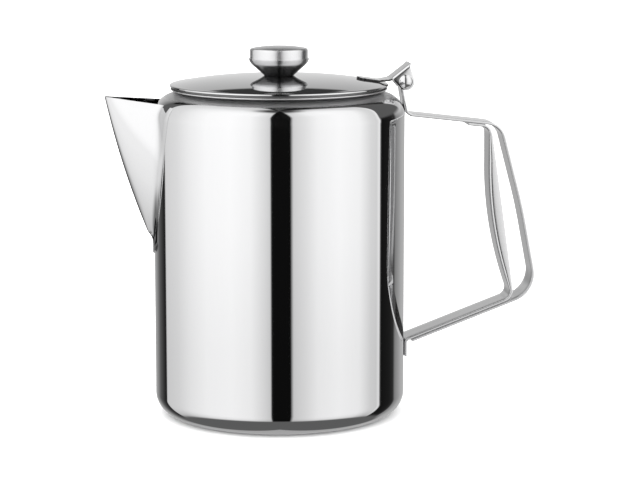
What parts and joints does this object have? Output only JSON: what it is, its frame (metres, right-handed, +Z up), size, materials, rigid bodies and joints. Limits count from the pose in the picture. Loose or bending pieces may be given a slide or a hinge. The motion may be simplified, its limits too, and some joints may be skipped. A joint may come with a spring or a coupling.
{
  "type": "teapot",
  "caption": "Tall straight-sided polished steel serving pot with a folded triangular spout, a hinged domed lid with a turned knob and a handle of doubled flat strip.",
  "frame": {"origin": "centre of the flat base, on the axis of the vessel", "axes": "+Z up along the vessel's axis, +X from the axis to the handle, -X to the spout, the pot's mid plane is Y = 0"},
  "size_m": [0.2168, 0.126, 0.1859],
  "materials": {
    "polished_steel": "mirror polished stainless steel",
    "strip_steel": "polished stainless steel strip with fine drawing lines",
    "plain_steel": "satin stainless steel, unpolished"
  },
  "bodies": {
    "pot": {"body_shell": "polished_steel", "spout": "polished_steel", "handle_outer_strip": "strip_steel", "handle_inner_strip": "strip_steel", "hinge_pin": "polished_steel"},
    "lid": {"lid_cover": "polished_steel", "lid_skirt": "plain_steel", "hinge_leaf": "strip_steel", "knob_cap": "polished_steel", "knob_cup": "polished_steel", "knob_boss": "plain_steel", "knob_washer": "plain_steel", "knob_screw": "plain_steel"}
  },
  "joints": [
    {"name": "lid_hinge", "type": "hinge", "parent": "pot", "child": "lid", "pos_m": [0.0631, 0, 0.168], "axis": [0, 1, 0], "range_deg": [0, 110]}
  ]
}
